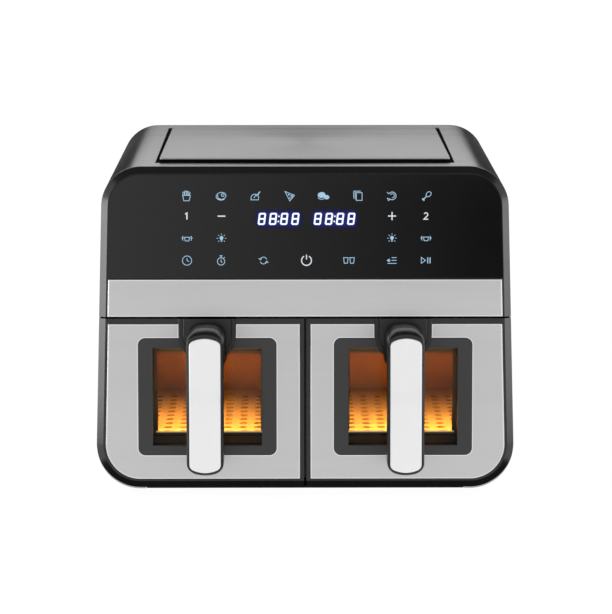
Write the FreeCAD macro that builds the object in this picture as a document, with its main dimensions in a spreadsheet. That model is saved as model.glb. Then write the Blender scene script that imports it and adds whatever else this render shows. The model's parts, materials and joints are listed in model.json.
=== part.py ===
import FreeCAD, Part

import math
import os
import re

import Sketcher
from FreeCAD import Placement, Rotation, Vector

# A free-standing air fryer with two drawers side by side, in millimetres.
# +Z is up, the drawers open towards -Y, and the origin is the middle of the footprint, on the table.
# The front face leans back. Pieces on it are drawn as (x, height up the face) and pushed along the
# face's outward normal, then leaned into place, so their depths are negative inside the housing.

SIZES = {
    # front face
    "lean_angle": 8.0, "front_y": -137.9, "front_z": 12.0,
    "half_width": 197.8, "flare": 0.0261, "frame_top": 302.2,
    "top_radius": 37.5, "bottom_radius": 41.0, "band": 8.5, "rim_depth": 8.0, "bevel": 6.6,
    "strip_bottom": 161.6, "strip_top": 196.9, "glass_bottom": 197.5, "glass_top": 295.1,
    "glass_band": 7.0,
    "panel_thickness": 3.0, "seam": 0.5,
    # outer casing
    "body_depth": 330.0, "body_top": 310.4, "base_bottom": 9.0, "shell_wall": 1.2,
    "base_half": 150.0, "base_thickness": 2.0,
    "well_half": 141.5, "well_front": 69.5, "well_back": 307.0, "groove": 3.9,
    "plate_rise": 0.6, "plate_tilt": 0.85, "plate_sheet": 1.0, "carrier_sheet": 3.0,
    "carrier_step": 1.2, "carrier_rim": 12.0, "carrier_depth": 8.0,
    "cover_sheet": 3.0, "cover_inset": 2.0, "cover_screw_x": 165.0, "cover_screw_low": 70.0,
    "cover_screw_high": 280.0, "vent_width": 46.0, "vent_height": 4.0, "vent_bottom": 176.0,
    "vent_pitch": 8.8, "slot_width": 16.0, "slot_length": 6.0, "slot_pitch": 28.0,
    "foot_height": 9.0, "foot_radius": 11.0, "foot_x": 128.0, "foot_front": 74.0, "foot_back": 296.0,
    "gland_x": 138.0, "gland_z": 44.0, "gland_bore": 3.6, "gland_radius": 9.0, "gland_flange": 12.0,
    "screw_head": 3.6, "screw_shank": 1.5,
    # control panel's inside
    "board_half": 123.0, "board_bottom": 205.0, "board_top": 285.0, "board_sheet": 1.6,
    "digit_bottom": 244.0, "digit_top": 263.0, "digit_width": 48.0, "spring_radius": 3.2,
    # inner frame and cooking chambers
    "partition_front": -30.0, "partition_back": -34.0, "partition_foot": 5.0, "shelf_top": 166.0,
    "opening_inner": 4.0, "opening_outer": 183.0, "opening_bottom": 9.0, "opening_top": 151.0,
    "opening_chamfer": 14.0,
    "sheet": 0.6, "liner_inner": 3.0, "liner_outer": 184.0, "liner_floor": 17.0,
    "liner_top": 204.0, "liner_chamfer": 16.0, "liner_front": 59.0, "liner_back": 302.0,
    "deck_bottom": 206.0, "deck_sheet": 0.8, "deck_half": 183.0, "motor_x": 93.4, "motor_y": 176.0,
    "fan_radius": 62.0, "shaft_radius": 4.0, "shaft_clearance": 0.05, "fan_bottom": 182.0,
    "fan_height": 11.0, "reflector_radius": 72.0, "reflector_top": 197.0,
    "heater_outer": 61.0, "heater_inner": 46.0, "heater_tube": 3.2, "heater_height": 168.0,
    "guard_height": 153.0, "guard_wire": 1.3, "guard_reach": 65.0, "post_reach": 80.0,
    "tail_shift": 8.0, "tail_hole": 4.6, "shaft_hole": 9.0, "hub_radius": 9.0, "blade_sheet": 1.2,
    "motor_radius": 31.0, "motor_height": 34.0, "core_half": 27.0, "core_reach": 36.0,
    "motor_foot_half": 12.0, "motor_foot_reach": 46.0, "cooler_radius": 35.0,
    "circuit_half": 54.0, "circuit_front": 196.0, "circuit_back": 292.0, "circuit_rise": 6.0,
    "lamp_x": 150.0, "lamp_y": 84.0, "sensor_x": 34.0, "sensor_y": 90.0, "fuse_x": 40.0, "fuse_y": 100.0,
    # drawers, given for the right one
    "drawer_inner": 1.1, "drawer_top": 160.0, "plug_depth": 14.0, "plug_margin": 4.4,
    "plate_inner": 4.9, "plate_bottom": 8.4, "plate_top": 155.0, "plate_proud": 0.6, "plate_edge": 0.6,
    "window_centre": 91.9, "window_middle": 86.4, "border_half": 65.0, "border_rise": 55.4,
    "border_radius": 6.8, "border_proud": 1.4, "glass_half": 51.2, "glass_rise": 46.2,
    "glass_sheet": 3.0, "pane_bottom": 49.0, "pane_top": 133.0, "spacer_bottom": 11.0,
    "spacer_top": 145.0, "spacer_chamfer": 9.0, "handle_x": 91.8,
    "collar_half": 27.0, "collar_middle": 146.0, "collar_proud": 4.0,
    "grip_half": 17.0, "grip_reach": 62.0, "grip_back": 43.0, "grip_bottom": 21.0, "grip_top": 151.5,
    "insert_half": 14.25, "insert_bottom": 23.0, "insert_top": 147.6, "insert_sheet": 1.4,
    "neck_bottom": 117.0, "neck_top": 157.0,
    "basket_half": 81.5, "basket_front": 52.0, "basket_length": 240.0, "basket_floor": 20.0,
    "basket_rim": 138.0, "basket_wall": 1.0, "basket_radius": 16.0, "basket_bend": 12.0,
    "rim_reach": 3.5, "crisper_gap": 1.2, "crisper_height": 30.0, "crisper_sheet": 1.2,
    "hole_radius": 4.0, "hole_pitch": 15.0, "pad_inset": 22.0, "pad_margin": 18.0, "pad_radius": 5.0,
}

VENT_ROWS = 9
VENT_COLUMNS = (-1.5, -0.5, 0.5, 1.5)
GUARD_RINGS = (16, 32, 48, 64)
CONVECTION_BLADES = 14
COOLING_BLADES = 9
SIDES = {"left": -1, "right": 1}

# Where the touch keys are: height up the face, then each key's x.
KEY_ROWS = {274.8: (-110.6, -78.4, -46.2, -14.5, 17.2, 49.4, 81.1, 113.8),
            256.0: (-110.6, -78.0, 81.2, 112.9),
            235.3: (-110.3, -78.1, 81.2, 113.0),
            214.5: (-110.4, -78.6, -38.9, 1.3, 41.0, 81.3, 113.1)}

doc = FreeCAD.newDocument("air_fryer")
sheet = doc.addObject("Spreadsheet::Sheet", "Sizes")
for row, (alias, size) in enumerate(SIZES.items(), start=1):
    sheet.set(f"A{row}", alias)
    sheet.set(f"B{row}", str(size))
    sheet.setAlias(f"B{row}", alias)
doc.recompute()

CELL_NAME = re.compile(r"\b(%s)\b" % "|".join(SIZES))
PARTS = []


# ---- how sizes are written: a text such as "half_width - band" stays bound to the sheet ----

def formula(text):
    return CELL_NAME.sub(r"Sizes.\1", str(text))


def number(text):
    return float(sheet.evalExpression(formula(text)))


def bind(item, prop, text):
    item.setExpression(prop, formula(text))


def half_at(height, inset=0):
    """Half the width of the casing at a height up the face, less an inset."""
    return f"(half_width - flare * ({height}) - ({inset}))"


def node(item, name):
    """Marks an object as a finished sub-part."""
    item.Label = name
    PARTS.append(item)
    return item


# ---- sketches and solid features ----

def new_body(name):
    return doc.addObject("PartDesign::Body", name)


def origin_plane(body, role):
    return [item for item in body.Origin.OriginFeatures if item.Role == role][0]


def pin(sketch, geometry, vertex, axis, text):
    """Dimensions one coordinate of a point from the sketch's origin."""
    size = number(text)
    if abs(size) < 1e-9:
        line = -2 if axis == "X" else -1
        sketch.addConstraint(Sketcher.Constraint("PointOnObject", geometry, vertex, line))
        return
    kind = f"Distance{axis}"
    index = sketch.addConstraint(Sketcher.Constraint(kind, -1, 1, geometry, vertex, size))
    sketch.setExpression(f"Constraints[{index}]", formula(text))


def add_polygon(sketch, points):
    first = sketch.GeometryCount
    count = len(points)
    corners = [Vector(number(x), number(y), 0) for x, y in points]
    for i in range(count):
        sketch.addGeometry(Part.LineSegment(corners[i], corners[(i + 1) % count]))
    for i in range(count):
        following = first + (i + 1) % count
        sketch.addConstraint(Sketcher.Constraint("Coincident", first + i, 2, following, 1))
    for i, (x, y) in enumerate(points):
        pin(sketch, first + i, 1, "X", x)
        pin(sketch, first + i, 1, "Y", y)


def add_circle(sketch, x, y, radius):
    centre = Vector(number(x), number(y), 0)
    index = sketch.addGeometry(Part.Circle(centre, Vector(0, 0, 1), number(radius)))
    pin(sketch, index, 3, "X", x)
    pin(sketch, index, 3, "Y", y)
    size = sketch.addConstraint(Sketcher.Constraint("Radius", index, number(radius)))
    sketch.setExpression(f"Constraints[{size}]", formula(radius))


def new_sketch(body, role, offset="0"):
    """A sketch on one of the body's own origin planes, moved along the plane's normal."""
    sketch = body.newObject("Sketcher::SketchObject", f"{body.Name}_sketch")
    sketch.AttachmentSupport = (origin_plane(body, role), [""])
    sketch.MapMode = "FlatFace"
    bind(sketch, "AttachmentOffset.Base.z", offset)
    return sketch


def pad(body, sketch, length):
    feature = body.newObject("PartDesign::Pad", f"{body.Name}_pad")
    feature.Profile = sketch
    bind(feature, "Length", length)
    return feature


def slab(name, role, start, length, polygons=(), circles=(), body=None):
    """A flat piece: outlines and holes in one sketch on an origin plane, padded along its normal."""
    body = body or new_body(name)
    sketch = new_sketch(body, role, start)
    for points in polygons:
        add_polygon(sketch, points)
    for circle in circles:
        add_circle(sketch, *circle)
    pad(body, sketch, length)
    return body


def face_slab(name, back, front, polygons=(), circles=(), body=None):
    """A slab on the face, between two depths along the outward normal."""
    return slab(name, "XZ_Plane", back, f"({front}) - ({back})", polygons, circles, body)


def cross_slab(name, front, back, polygons=(), circles=(), body=None):
    """A slab drawn in X and Z, from y = front to y = back."""
    return slab(name, "XZ_Plane", f"-({back})", f"({back}) - ({front})", polygons, circles, body)


def plan_slab(name, low, high, polygons=(), circles=(), body=None):
    """A slab drawn in X and Y, from z = low to z = high."""
    return slab(name, "XY_Plane", low, f"({high}) - ({low})", polygons, circles, body)


def rectangle(x0, x1, y0, y1):
    return [(x0, y0), (x1, y0), (x1, y1), (x0, y1)]


def face_outline(low, high, inset=0):
    """The casing's outline between two heights up the face: it widens towards the base."""
    return [(f"-{half_at(low, inset)}", low), (half_at(low, inset), low),
            (half_at(high, inset), high), (f"-{half_at(high, inset)}", high)]


# ---- edge treatments ----

AXIS = {"x": Vector(1, 0, 0), "y": Vector(0, 1, 0), "z": Vector(0, 0, 1)}
OTHERS = {"x": ("y", "z"), "y": ("x", "z"), "z": ("x", "y")}


def local_shape(body):
    shape = body.Tip.Shape.copy()
    shape.Placement = body.Tip.Placement
    return shape


def edge_names(body, wanted):
    doc.recompute()
    return [f"Edge{i}" for i, edge in enumerate(local_shape(body).Edges, 1) if wanted(edge)]


def dress(body, kind, prop, size, wanted):
    """Rounds or bevels the edges for which wanted(edge) is true."""
    names = edge_names(body, wanted)
    if not names:
        raise RuntimeError(f"{body.Name}: no edge to treat")
    feature = body.newObject(kind, f"{body.Name}_edges")
    feature.Base = (body.Tip if feature.BaseFeature is None else feature.BaseFeature, names)
    bind(feature, prop, size)
    body.Tip = feature
    return feature


def middle(edge):
    return edge.valueAt((edge.FirstParameter + edge.LastParameter) / 2)


def at_corner(axis, spots):
    """Picks straight edges along an axis that pass through the given spots."""
    first, second = OTHERS[axis]
    places = [(number(a), number(b)) for a, b in spots]

    def wanted(edge):
        if not isinstance(edge.Curve, Part.Line) or abs(edge.Curve.Direction.dot(AXIS[axis])) < 0.999:
            return False
        point = middle(edge)
        here = (getattr(point, first), getattr(point, second))
        return any(math.dist(here, place) < 0.3 for place in places)

    return wanted


def at_level(axis, level, unless=lambda point: False):
    """Picks the edges that lie wholly at one level of an axis."""
    value = number(level)

    def wanted(edge):
        box = edge.BoundBox
        low = getattr(box, axis.upper() + "Min")
        high = getattr(box, axis.upper() + "Max")
        return abs(low - value) < 0.01 and abs(high - value) < 0.01 and not unless(middle(edge))

    return wanted


def round_edges(body, radius, wanted):
    return dress(body, "PartDesign::Fillet", "Radius", radius, wanted)


def bevel_edges(body, size, wanted):
    return dress(body, "PartDesign::Chamfer", "Size", size, wanted)


# ---- primitives, booleans and placing ----

def block(name, x, y, z):
    """A box between (low, high) pairs of texts."""
    item = doc.addObject("Part::Box", name)
    for prop, base, (low, high) in (("Length", "x", x), ("Width", "y", y), ("Height", "z", z)):
        bind(item, prop, f"({high}) - ({low})")
        bind(item, f"Placement.Base.{base}", low)
    return item


def rod(name, foot, length, radius, axis="z"):
    """A cylinder from its foot along an axis."""
    item = doc.addObject("Part::Cylinder", name)
    bind(item, "Radius", radius)
    bind(item, "Height", length)
    turn = {"x": Rotation(AXIS["y"], 90), "y": Rotation(AXIS["x"], -90), "z": Rotation()}[axis]
    item.Placement = Placement(Vector(0, 0, 0), turn)
    for base, text in zip("xyz", foot):
        bind(item, f"Placement.Base.{base}", text)
    return item


def ring(name, centre, radius, tube):
    item = doc.addObject("Part::Torus", name)
    bind(item, "Radius1", radius)
    bind(item, "Radius2", tube)
    for base, text in zip("xyz", centre):
        bind(item, f"Placement.Base.{base}", text)
    return item


def fuse(name, pieces):
    item = doc.addObject("Part::MultiFuse", name)
    item.Shapes = pieces
    return item


def cut(name, base, tools):
    """Base less each tool in turn."""
    for i, tool in enumerate(tools):
        item = doc.addObject("Part::Cut", name if i == len(tools) - 1 else f"{name}_step")
        item.Base = base
        item.Tool = tool
        base = item
    return base


def group(name, pieces):
    """Separate identical solids that share one node."""
    item = doc.addObject("Part::Compound", name)
    item.Links = pieces
    return item


def lean(item):
    """Stands a piece drawn flat onto the leaning front face."""
    item.Placement = Placement(Vector(0, 0, 0), Rotation(AXIS["x"], -1))
    bind(item, "Placement.Base.y", "front_y")
    bind(item, "Placement.Base.z", "front_z")
    bind(item, "Placement.Rotation.Angle", "-lean_angle")
    return item


def mirror(item, name):
    """The same piece on the other side of the middle plane."""
    copy = doc.addObject("Part::Mirroring", name)
    copy.Source = item
    copy.Normal = AXIS["x"]
    return node(copy, name)


def both_sides(item, stem):
    """Keeps a right-hand piece and adds its left-hand twin."""
    node(item, f"right_{stem}")
    mirror(item, f"left_{stem}")


def behind(distance):
    """A y position, given from the front edge of the base."""
    return f"(front_y + ({distance}))"


# ---- outer casing ----

def casing_core(name, inset, front, back):
    """The casing's rounded cross-section, less an inset all round, from front to back."""
    low = f"(base_bottom + {inset})"
    high = f"(body_top - ({inset}))"
    low_half = half_at(f"{low} - front_z", inset)
    high_half = half_at(f"{high} - front_z", inset)
    corners = [(f"-{low_half}", low), (low_half, low), (high_half, high), (f"-{high_half}", high)]
    body = cross_slab(name, front, back, [corners])
    round_edges(body, f"bottom_radius - ({inset})", at_corner("y", corners[:2]))
    round_edges(body, f"top_radius - ({inset})", at_corner("y", corners[2:]))
    return body


def make_outer_shell():
    outside = casing_core("shell_outside", "0", behind(-40), behind("body_depth"))
    round_edges(outside, "shell_wall - 0.4", at_level("y", behind("body_depth")))
    inside = casing_core("shell_inside", "shell_wall", behind(-60), behind("body_depth + 10"))
    nose = lean(face_slab("shell_nose", "-rim_depth - seam", 200, [rectangle(-260, 260, -90, 420)]))
    well = block("shell_well", ("-well_half", "well_half"),
                 (behind("well_front"), behind("well_back")), ("body_top - 10", "body_top + 10"))
    floor = block("shell_floor", ("-base_half - seam", "base_half + seam"),
                  (behind(-60), behind("body_depth + 10")), ("base_bottom - 5", "base_bottom + 8"))
    node(cut("outer_shell", outside, [inside, nose, well, floor]), "outer_shell")


def tip_up(item):
    """Hinges a piece drawn from the top plate's rear edge, so that its front end stands higher."""
    item.Placement = Placement(Vector(0, 0, 0), Rotation(AXIS["x"], -1))
    bind(item, "Placement.Base.y", behind("well_back - groove"))
    bind(item, "Placement.Base.z", "body_top + plate_rise")
    bind(item, "Placement.Rotation.Angle", "-plate_tilt")
    return item


def make_top_plate():
    half = "well_half - groove"
    outline = rectangle(f"-({half})", half, "well_front - well_back + groove * 2", 0)
    body = plan_slab("top_plate", "-plate_sheet", "0", [outline])
    round_edges(body, 3, at_corner("z", outline))
    round_edges(body, "plate_sheet * 0.6", at_level("z", "0"))
    node(tip_up(body), "top_plate")


def carrier_block(name, inset, low, high):
    """A block under the top plate, inset from the well and drawn from the plate's rear edge."""
    half = f"well_half - ({inset})"
    front = f"well_front - well_back + groove + ({inset})"
    return tip_up(plan_slab(name, low, high, [rectangle(f"-({half})", half, front, f"groove - ({inset})")]))


def make_top_plate_carrier():
    """A tray under the lid's opening with a raised block that holds the plate clear of the casing."""
    flange_top = "body_top - shell_wall - 0.2"
    flange = block("carrier_flange", ("-well_half - 4", "well_half + 4"),
                   (behind("well_front - 4"), behind("well_back + 4")),
                   (f"{flange_top} - carrier_sheet", flange_top))
    raised = carrier_block("carrier_raised", "groove + carrier_step", "-plate_sheet - carrier_depth",
                           "-plate_sheet")
    hollow = carrier_block("carrier_hollow", "groove + carrier_step + carrier_rim", "-carrier_depth * 3",
                           "-plate_sheet - 2")
    whole = fuse("carrier_whole", [flange, raised])
    node(cut("top_plate_carrier", whole, [hollow]), "top_plate_carrier")


def make_base_pan():
    front = behind("rim_depth + 1.2")
    back = behind("body_depth - cover_sheet - cover_inset - 1")
    floor = block("pan_floor", ("-base_half", "base_half"), (front, back),
                  ("base_bottom", "base_bottom + base_thickness"))
    wall_y = (behind("basket_front + 2"), back)
    wall_z = ("base_bottom + base_thickness", "base_bottom + 8")
    rim = block("pan_rim", ("-base_half", "base_half"), wall_y, wall_z)
    hollow = block("pan_hollow", ("-base_half + 1.6", "base_half - 1.6"),
                   (f"{wall_y[0]} + 1.6", f"{back} - 1.6"),
                   ("base_bottom + base_thickness", "base_bottom + 20"))
    slots = []
    for column in range(-4, 5):
        for y in (150, 166):
            x = f"{column} * slot_pitch"
            slots.append(block("pan_slot", (f"{x} - slot_width / 2", f"{x} + slot_width / 2"),
                               (behind(y), behind(f"{y} + slot_length")),
                               ("base_bottom - 1", "base_bottom + 5")))
    whole = fuse("pan_whole", [floor, rim])
    node(cut("base_pan", whole, [hollow, group("pan_slots", slots)]), "base_pan")


def cover_screws():
    """Where the rear cover is screwed on, as (x, z)."""
    corners = [(f"{side} * cover_screw_x", z)
               for side in SIDES.values() for z in ("cover_screw_low", "cover_screw_high")]
    return corners + [(0, "cover_screw_high + 10"), (0, 24)]


def make_rear_cover():
    inset = "shell_wall + 0.3"
    back = behind("body_depth - cover_inset")
    front = behind("body_depth - cover_inset - cover_sheet")
    plate = casing_core("cover_plate", inset, front, back)
    through = (f"{front} - 2", f"{back} + 2")
    holes = [rod("cover_hole", (x, through[0], z), "cover_sheet + 4", "screw_shank + 0.1", "y")
             for x, z in cover_screws()]
    holes.append(rod("cover_gland_hole", ("gland_x", through[0], "gland_z"), "cover_sheet + 4",
                     "gland_radius + 0.1", "y"))
    for column in VENT_COLUMNS:
        for level in range(VENT_ROWS):
            middle_x = f"{column} * (vent_width + 9)"
            low = f"vent_bottom + {level} * vent_pitch"
            holes.append(block("vent", (f"{middle_x} - vent_width / 2", f"{middle_x} + vent_width / 2"),
                               through, (low, f"{low} + vent_height")))
    node(cut("rear_cover", plate, [group("cover_holes", holes)]), "rear_cover")


def make_cord_gland():
    out = "body_depth - cover_inset"
    flange = rod("gland_flange_disc", ("gland_x", behind(out), "gland_z"), 3, "gland_flange", "y")
    neck = rod("gland_neck", ("gland_x", behind(f"{out} - 12"), "gland_z"), 18, "gland_radius", "y")
    bore = rod("gland_hole", ("gland_x", behind(f"{out} - 20"), "gland_z"), 40, "gland_bore", "y")
    node(cut("cord_gland", fuse("gland_whole", [flange, neck]), [bore]), "cord_gland")


def make_housing_screws():
    screws = []
    out = "body_depth - cover_inset"
    for x, z in cover_screws():
        head = rod("screw_cap", (x, behind(out), z), 1.8, "screw_head", "y")
        shank = rod("screw_pin", (x, behind(f"{out} - 9"), z), 9, "screw_shank", "y")
        screws.append(fuse("screw", [head, shank]))
    node(group("housing_screws", screws), "housing_screws")


def make_feet():
    feet = []
    for side, y in [(side, y) for side in SIDES.values() for y in ("foot_front", "foot_back")]:
        foot = doc.addObject("Part::Cone", "foot")
        bind(foot, "Radius1", "foot_radius - 1.5")
        bind(foot, "Radius2", "foot_radius")
        bind(foot, "Height", "foot_height")
        bind(foot, "Placement.Base.x", f"{side} * foot_x")
        bind(foot, "Placement.Base.y", behind(y))
        feet.append(foot)
    node(group("feet", feet), "feet")


# ---- front frame, control panel and inner chassis ----

def make_front_frame():
    """Bezel around the panel, a shelf behind the drawers' top edge and a partition with two openings."""
    top_corners = face_outline("strip_bottom", "frame_top")[2:]
    bezel = face_slab("bezel", "-rim_depth", "0", [face_outline("strip_bottom", "frame_top")])
    round_edges(bezel, "top_radius", at_corner("y", top_corners))
    low = number("strip_bottom")
    bevel_edges(bezel, "bevel", at_level("y", "0", unless=lambda point: abs(point.z - low) < 0.1))
    panel_outline = face_outline("glass_bottom - 0.2", "glass_top + 0.1", "glass_band - 0.1")
    recess = face_slab("panel_recess", "-panel_thickness", "2", [panel_outline])
    round_edges(recess, "top_radius - glass_band", at_corner("y", panel_outline[2:]))
    groove = face_slab("strip_recess", "-panel_thickness", "2",
                       [face_outline("strip_bottom - 1", "glass_bottom", "band - 0.1")])
    aperture = block("panel_aperture", ("-board_half - 3", "board_half + 3"), (-1, "rim_depth + 1"),
                     ("board_bottom - 1", "board_top + 1"))
    inset = "shell_wall + 0.6"
    shelf = face_slab("shelf", "partition_back", "-rim_depth",
                      [face_outline("strip_bottom", "shelf_top", inset)])
    outline = face_outline("partition_foot", "shelf_top", inset)
    openings = [drawer_opening(side) for side in SIDES.values()]
    wall = face_slab("partition", "partition_back", "partition_front", [outline] + openings)
    round_edges(wall, "bottom_radius - 3", at_corner("y", outline[:2]))
    whole = fuse("frame_whole", [bezel, shelf, wall])
    node(lean(cut("front_frame", whole, [recess, groove, aperture])), "front_frame")


def drawer_opening(side):
    """The hole in the partition that one drawer slides through."""
    inner = f"{side} * opening_inner"
    outer = f"{side} * opening_outer"
    return [(inner, "opening_bottom"), (f"{side} * (opening_outer - opening_chamfer)", "opening_bottom"),
            (outer, "opening_bottom + opening_chamfer"), (outer, "opening_top"), (inner, "opening_top")]


def make_panel():
    outline = face_outline("glass_bottom", "glass_top", "glass_band")
    glass = face_slab("panel_glass", "-panel_thickness", "0", [outline])
    round_edges(glass, "top_radius - glass_band", at_corner("y", outline[2:]))
    round_edges(glass, 0.5, at_level("y", "0"))
    node(lean(glass), "panel_glass")
    strip = face_slab("trim_strip", "-panel_thickness", "plate_proud",
                      [face_outline("strip_bottom", "strip_top", "band")])
    bevel_edges(strip, 0.5, at_level("y", "-plate_proud"))
    node(lean(strip), "trim_strip")


def make_display():
    front = "panel_thickness + 0.2"
    back = "rim_depth + 5"
    board = face_slab("display_board", f"-({back}) - board_sheet", f"-({back})",
                      [rectangle("-board_half", "board_half", "board_bottom", "board_top")])
    node(lean(board), "display_board")
    digits = [block("digits", (x, f"{x} + digit_width"), (front, back), ("digit_bottom", "digit_top"))
              for x in (-49, 3)]
    node(lean(group("digit_displays", digits)), "digit_displays")
    springs = []
    for level, places in KEY_ROWS.items():
        for x in places:
            springs.append(rod("key_spring", (x, front, level), f"{back} - ({front})", "spring_radius", "y"))
    node(lean(group("touch_springs", springs)), "touch_springs")


def shaft_circles(radius):
    return [(f"{side} * motor_x", behind("motor_y"), radius) for side in SIDES.values()]


def terminal_circles(radius):
    """Holes for the heaters' two tails, in front of each fan."""
    return [(f"{side} * motor_x + {way} * tail_shift", behind("motor_y - post_reach"), radius)
            for side in SIDES.values() for way in (-1, 1)]


def make_chassis_deck():
    outline = rectangle("-deck_half", "deck_half", behind(64), behind(300))
    deck = plan_slab("chassis_deck", "deck_bottom", "deck_bottom + deck_sheet", [outline],
                     shaft_circles("shaft_hole") + terminal_circles("tail_hole"))
    node(deck, "chassis_deck")


def liner_outline(inset):
    inner = f"liner_inner + {inset}"
    outer = f"liner_outer - {inset}"
    low = f"liner_floor + {inset}"
    slope = f"liner_chamfer - {inset} * 0.4"
    return [(inner, low), (f"{outer} - ({slope})", low), (outer, f"{low} + {slope}"),
            (outer, f"liner_top - {inset}"), (inner, f"liner_top - {inset}")]


def make_chambers():
    """Sheet-metal liner, open to the front, with a ledge on each side that the basket's rim runs over."""
    tube = cross_slab("liner_tube", behind("liner_front"), behind("liner_back"),
                      [liner_outline("0"), liner_outline("sheet")])
    end = cross_slab("liner_end", behind("liner_back"), behind("liner_back + sheet"),
                     [liner_outline("0")])
    ledge_y = (behind("liner_front + 4"), behind("liner_back - 20"))
    ledge_z = ("basket_rim - 4.2", "basket_rim - 2.2")
    basket_inner = "window_centre - basket_half"
    basket_outer = "window_centre + basket_half"
    inner_ledge = block("inner_ledge", ("liner_inner", f"{basket_inner} - 1.4"), ledge_y, ledge_z)
    outer_ledge = block("outer_ledge", (f"{basket_outer} + 1.4", "liner_outer"), ledge_y, ledge_z)
    whole = fuse("liner_whole", [tube, end, inner_ledge, outer_ledge])
    right_side = shaft_circles("shaft_hole")[1:] + terminal_circles("tail_hole")[2:]
    holes = [rod("liner_hole", (x, y, "liner_top - 5"), 10, radius) for x, y, radius in right_side]
    both_sides(cut("right_chamber", whole, holes), "chamber")


def make_heaters():
    centre = ("motor_x", behind("motor_y"), "heater_height")
    pieces = [ring("heater_ring_outer", centre, "heater_outer", "heater_tube"),
              ring("heater_ring_inner", centre, "heater_inner", "heater_tube")]
    for way in (-1, 1):
        x = f"motor_x + {way} * tail_shift"
        foot = (x, behind("motor_y - post_reach"), "heater_height")
        reach = "post_reach - heater_inner + 1"
        pieces.append(rod("heater_arm", foot, reach, "heater_tube", "y"))
        pieces.append(rod("heater_tail", foot, "deck_bottom - heater_height + 6", "heater_tube", "z"))
    both_sides(fuse("right_heater", pieces), "heater")


def make_heater_guards():
    centre = ("motor_x", behind("motor_y"), "guard_height")
    rings = [ring("guard_ring", centre, radius, "guard_wire") for radius in GUARD_RINGS]
    across = rod("guard_wire_x", ("motor_x - post_reach", behind("motor_y"), "guard_height"),
                 "post_reach * 2", "guard_wire", "x")
    along = rod("guard_wire_y", ("motor_x", behind("motor_y - guard_reach"), "guard_height"),
                "guard_reach * 2", "guard_wire", "y")
    posts = [rod("guard_post", (f"motor_x + {way} * post_reach", behind("motor_y"), "guard_height"),
                 "liner_top - sheet - guard_height", "guard_wire * 1.6") for way in (-1, 1)]
    both_sides(fuse("right_heater_guard", rings + [across, along] + posts), "heater_guard")


def make_reflectors():
    """A shallow dish around each fan that turns its air down past the heater."""
    circle = [("motor_x", behind("motor_y"), "reflector_radius")]
    top = plan_slab("right_heat_reflector", "reflector_top - sheet", "reflector_top", [],
                    circle + [("motor_x", behind("motor_y"), 10)])
    plan_slab("right_heat_reflector", "reflector_top - 12", "reflector_top - sheet", [],
              circle + [("motor_x", behind("motor_y"), "reflector_radius - sheet")], body=top)
    both_sides(top, "heat_reflector")


def make_motors():
    low = "deck_bottom + deck_sheet"
    can = rod("motor_can", ("motor_x", behind("motor_y"), low), "motor_height", "motor_radius")
    core = block("motor_core", ("motor_x - core_half", "motor_x + core_half"),
                 (behind("motor_y - core_reach"), behind("motor_y + core_reach")),
                 (f"{low} + 8", f"{low} + 24"))
    foot_plate = block("motor_foot", ("motor_x - motor_foot_half", "motor_x + motor_foot_half"),
                       (behind("motor_y - motor_foot_reach"), behind("motor_y + motor_foot_reach")),
                       (low, f"{low} + 2"))
    bore = rod("motor_bore", ("motor_x", behind("motor_y"), "deck_bottom"), 60,
               "shaft_radius + shaft_clearance")
    whole = fuse("motor_whole", [can, core, foot_plate])
    both_sides(cut("right_motor", whole, [bore]), "motor")


def bladed_wheel(name, radius, low, disc_low, count):
    """A disc with a bored hub and straight blades between two levels, drawn about the Z axis."""
    body = plan_slab(name, disc_low, f"{disc_low} + 1", [], [(0, 0, radius), (0, 0, "shaft_radius")])
    plan_slab(name, low, disc_low, [], [(0, 0, "hub_radius"), (0, 0, "shaft_radius")], body=body)
    blade = rectangle("hub_radius - 1", f"{radius} - 1", "-blade_sheet / 2", "blade_sheet / 2")
    plan_slab(name, low, disc_low, [blade], body=body)
    pattern = body.newObject("PartDesign::PolarPattern", f"{name}_blades")
    pattern.Originals = [body.Tip]
    pattern.Axis = ([item for item in body.Origin.OriginFeatures if item.Role == "Z_Axis"][0], [""])
    pattern.Angle = 360
    pattern.Occurrences = count
    body.Tip = pattern
    return body


def place_over_motor(item, side):
    item.Placement = Placement(Vector(0, 0, 0), Rotation())
    bind(item, "Placement.Base.x", f"{side} * motor_x")
    bind(item, "Placement.Base.y", behind("motor_y"))
    return item


def make_fans():
    for hand, side in SIDES.items():
        wheel = bladed_wheel(f"{hand}_convection_fan", "fan_radius", "fan_bottom",
                             "fan_bottom + fan_height - 1", CONVECTION_BLADES)
        node(place_over_motor(wheel, side), f"{hand}_convection_fan")
        above = "deck_bottom + deck_sheet + motor_height"
        cooler = bladed_wheel(f"{hand}_cooling_fan", "cooler_radius", f"{above} + 2",
                              f"{above} + 10", COOLING_BLADES)
        node(place_over_motor(cooler, side), f"{hand}_cooling_fan")
        shaft = rod(f"{hand}_fan_shaft", (0, 0, "fan_bottom - 1"),
                    f"{above} + 13 - fan_bottom + 1", "shaft_radius")
        node(place_over_motor(shaft, side), f"{hand}_fan_shaft")


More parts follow.
